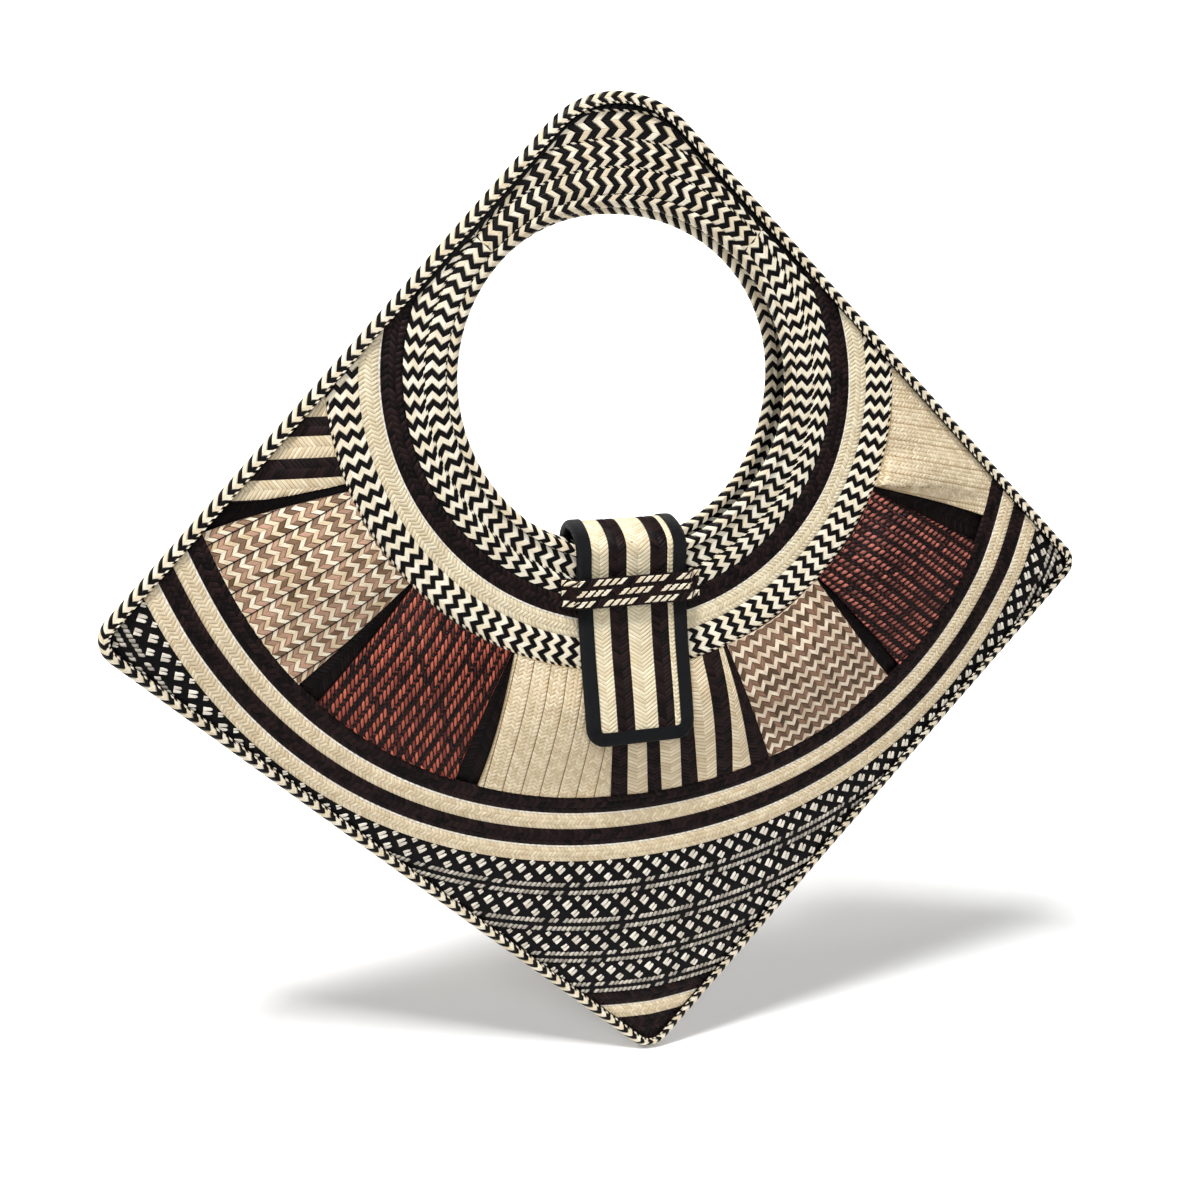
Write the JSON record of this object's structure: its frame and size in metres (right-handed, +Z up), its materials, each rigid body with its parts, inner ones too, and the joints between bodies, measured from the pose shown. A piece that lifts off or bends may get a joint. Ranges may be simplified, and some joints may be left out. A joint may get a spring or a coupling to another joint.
{
  "type": "woven straw handbag",
  "caption": "Flat square handbag of sewn straw braids standing on one corner, with a round hand hole as its handle, gathered panels and a closing tab through a keeper.",
  "frame": {"origin": "top of the hand hole in the middle plane of the bag, where a hand or a hook carries it", "axes": "+Z up, +Y away from the front, +X to the right as seen from the front"},
  "size_m": [0.4429, 0.0472, 0.43],
  "materials": {
    "straw_cream": "plain woven straw braid, satin",
    "straw_dark": "dark brown woven straw braid, satin",
    "straw_zigzag": "black and cream woven straw braid, satin",
    "straw_striped": "dark and cream straw braids sewn side by side, satin",
    "straw_tan": "tan and cream woven straw braid, satin",
    "straw_rust": "rust and dark brown woven straw braid, satin",
    "straw_field": "patterned black and cream woven straw braid, satin",
    "straw_keeper": "dark woven straw braid with cream dashes, satin",
    "ribbon_black": "black ribbed ribbon"
  },
  "bodies": {
    "root": {"front_rim_binding": "straw_zigzag", "front_neck_braid": "straw_zigzag", "front_neck_dark": "straw_dark", "front_neck_cream": "straw_cream", "front_neck_zigzag": "straw_zigzag", "front_arc_dark_inner": "straw_dark", "front_arc_cream_inner": "straw_cream", "front_arc_dark_outer": "straw_dark", "front_arc_cream_outer": "straw_cream", "front_field_1": "straw_field", "front_field_2": "straw_field", "front_field_3": "straw_field", "front_field_4": "straw_field", "front_tip_dark_upper": "straw_dark", "front_tip_cream": "straw_cream", "front_tip_dark_lower": "straw_dark", "back_rim_binding": "straw_zigzag", "back_neck_braid": "straw_zigzag", "back_neck_dark": "straw_dark", "back_neck_cream": "straw_cream", "back_neck_zigzag": "straw_zigzag", "back_middle_cream": "straw_cream", "back_arc_dark_inner": "straw_dark", "back_arc_cream_inner": "straw_cream", "back_arc_dark_outer": "straw_dark", "back_arc_cream_outer": "straw_cream", "back_field_1": "straw_field", "back_field_2": "straw_field", "back_field_3": "straw_field", "back_field_4": "straw_field", "back_tip_dark_upper": "straw_dark", "back_tip_cream": "straw_cream", "back_tip_dark_lower": "straw_dark", "stripes_left": "straw_striped", "tan_left": "straw_tan", "rust_left": "straw_rust", "cream_left": "straw_cream", "stripes_middle": "straw_striped", "tan_right": "straw_tan", "rust_right": "straw_rust", "cream_right": "straw_cream", "fold_stripes_tan_left": "straw_dark", "fold_tan_rust_left": "straw_dark", "fold_rust_cream_left": "straw_dark", "fold_tan_rust_right": "straw_dark", "fold_rust_cream_right": "straw_dark", "edge_binding": "straw_zigzag", "tab_strap": "straw_striped", "tab_binding": "ribbon_black", "keeper_loop": "straw_keeper"}
  },
  "joints": []
}
